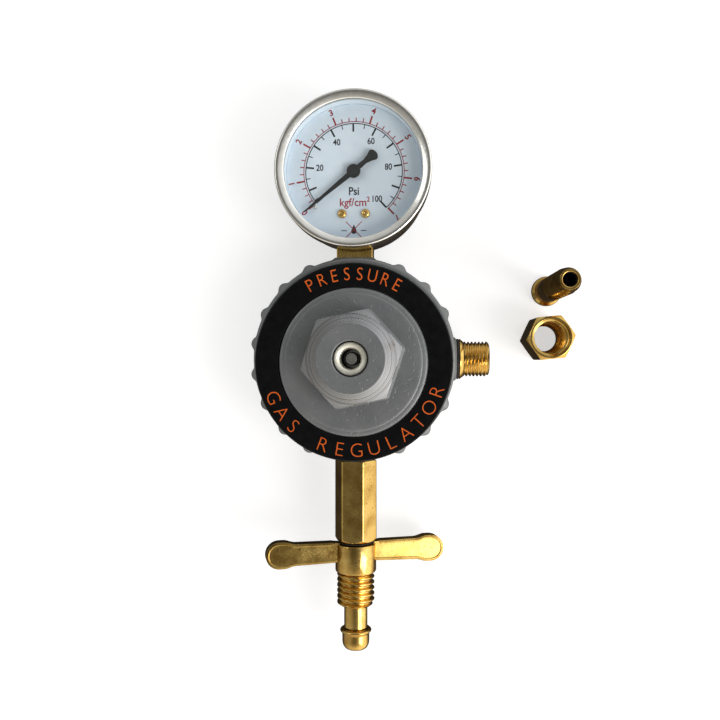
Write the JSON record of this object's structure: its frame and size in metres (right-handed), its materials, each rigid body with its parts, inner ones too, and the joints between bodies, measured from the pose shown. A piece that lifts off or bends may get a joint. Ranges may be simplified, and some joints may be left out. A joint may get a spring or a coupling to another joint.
{
  "type": "gas pressure regulator",
  "caption": "Spring-loaded diaphragm gas regulator with a round dial gauge, T-handle inlet, threaded outlet and loose hose fittings.",
  "frame": {"origin": "centre of the body's flat back face, on the diaphragm axis", "axes": "+Z along the diaphragm and adjusting-screw axis towards the dial side, +Y towards the gauge, -Y along the inlet stem, +X along the outlet nipple"},
  "size_m": [0.1208, 0.2072, 0.0465],
  "materials": {
    "cast_grey": "satin die-cast zinc alloy, turned on the hexagon's face",
    "brass": "bright machined brass",
    "plated_steel": "nickel plated",
    "spring_steel": "plain drawn wire",
    "ring_black": "glossy black with orange print",
    "case_black": "semi-gloss black paint",
    "bezel_nickel": "bright nickel plate",
    "dial_white": "matte white with printed scales",
    "pointer_black": "matte black",
    "window_clear": "clear",
    "rubber": "black rubber"
  },
  "bodies": {
    "root": {"body_casting": "cast_grey", "bonnet": "cast_grey", "name_ring": "ring_black", "diaphragm": "rubber", "diaphragm_slip_ring": "plated_steel", "inlet_nozzle": "brass", "lever_bracket": "brass", "lever_pin": "spring_steel", "inlet_stem": "brass", "inlet_filter": "plated_steel", "stem_washer": "rubber", "inlet_nose": "brass", "outlet_washer": "rubber", "outlet_nipple": "brass", "gauge_socket": "brass", "gauge_case": "case_black", "blow_out_plug": "rubber", "gauge_bezel": "bezel_nickel", "window_gasket": "rubber", "gauge_window": "window_clear", "dial": "dial_white", "stop_pin": "plated_steel", "dial_screw_left": "brass", "dial_screw_right": "brass", "movement_back_plate": "brass", "movement_front_plate": "brass", "movement_pillar_left": "brass", "movement_pillar_right": "brass", "movement_pillar_lower": "brass", "bourdon_tube": "brass", "hairspring": "spring_steel"},
    "diaphragm_stack": {"diaphragm_stem": "plated_steel", "spring_plate": "plated_steel", "diaphragm_nut": "plated_steel"},
    "button": {"spring_button": "plated_steel", "main_spring": "spring_steel"},
    "screw": {"adjusting_screw": "plated_steel"},
    "lever": {"valve_lever": "plated_steel"},
    "seat": {"seat_holder": "brass", "seat_disc": "rubber"},
    "pointer": {"pointer": "pointer_black", "pinion_shaft": "brass"},
    "sector": {"sector_gear": "brass"},
    "link": {"tube_link": "brass"},
    "tube_end": {"bourdon_tip": "brass"},
    "hand_nut_slider": {"thrust_washer": "rubber"},
    "hand_nut": {"hand_nut": "brass"},
    "union_nut": {"union_nut": "brass"},
    "hose_nipple": {"hose_nipple": "brass"}
  },
  "joints": [
    {"name": "diaphragm_travel", "type": "slide", "parent": "root", "child": "diaphragm_stack", "axis": [0, 0, 1], "range_m": [0, 0.0015], "stiffness_N_per_m": 800, "deforming": ["diaphragm", "main_spring"]},
    {"name": "lever_turn", "type": "hinge", "parent": "root", "child": "lever", "pos_m": [0, -0.01, 0.0105], "axis": [1, 0, 0], "range_deg": [0, 8.6]},
    {"name": "seat_travel", "type": "slide", "parent": "root", "child": "seat", "axis": [0, -1, 0], "range_m": [0, 0.000976]},
    {"name": "spring_button_travel", "type": "slide", "parent": "root", "child": "button", "axis": [0, 0, 1], "range_m": [-0.00225, 0.00225], "deforming": ["main_spring"]},
    {"name": "adjusting_screw_turn", "type": "hinge", "parent": "button", "child": "screw", "pos_m": [0, 0, 0.04], "axis": [0, 0, 1], "range_deg": [-540.1, 540.1]},
    {"name": "pointer_sweep", "type": "hinge", "parent": "root", "child": "pointer", "pos_m": [0, 0.06875, 0.028], "axis": [0, 0, -1], "range_deg": [0, 264.1], "deforming": ["hairspring"]},
    {"name": "sector_turn", "type": "hinge", "parent": "root", "child": "sector", "pos_m": [0.01106, 0.06101, 0.017], "axis": [0, 0, 1], "range_deg": [0, 33.1]},
    {"name": "link_turn", "type": "hinge", "parent": "sector", "child": "link", "pos_m": [0.0145, 0.05609, 0.0198], "axis": [0, 0, 1], "range_deg": [-33.1, 0]},
    {"name": "tube_end_travel", "type": "slide", "parent": "root", "child": "tube_end", "axis": [0.6225, 0.7826, 0], "range_m": [0, 0.00341], "stiffness_N_per_m": 100, "deforming": ["bourdon_tube"]},
    {"name": "hand_nut_float", "type": "slide", "parent": "root", "child": "hand_nut_slider", "axis": [0, -1, 0], "range_m": [0, 0.008]},
    {"name": "hand_nut_spin", "type": "hinge", "parent": "hand_nut_slider", "child": "hand_nut", "pos_m": [0, -0.08, 0.017], "axis": [0, -1, 0], "continuous": true},
    {"name": "union_nut_lift", "type": "slide", "parent": "root", "child": "union_nut", "axis": [0, 0, 1], "range_m": [0, 0.03]},
    {"name": "hose_nipple_lift", "type": "slide", "parent": "root", "child": "hose_nipple", "axis": [0, 0, 1], "range_m": [0, 0.03]}
  ],
  "couplings": [
    {"joint": "lever_turn", "follows": "diaphragm_travel", "rad_per_m": 100},
    {"joint": "seat_travel", "follows": "diaphragm_travel", "ratio": 0.65},
    {"joint": "adjusting_screw_turn", "follows": "spring_button_travel", "rad_per_m": 4188.8},
    {"joint": "pointer_sweep", "follows": "tube_end_travel", "rad_per_m": 1351.9},
    {"joint": "sector_turn", "follows": "tube_end_travel", "rad_per_m": 168.99},
    {"joint": "link_turn", "follows": "tube_end_travel", "rad_per_m": -168.99}
  ]
}
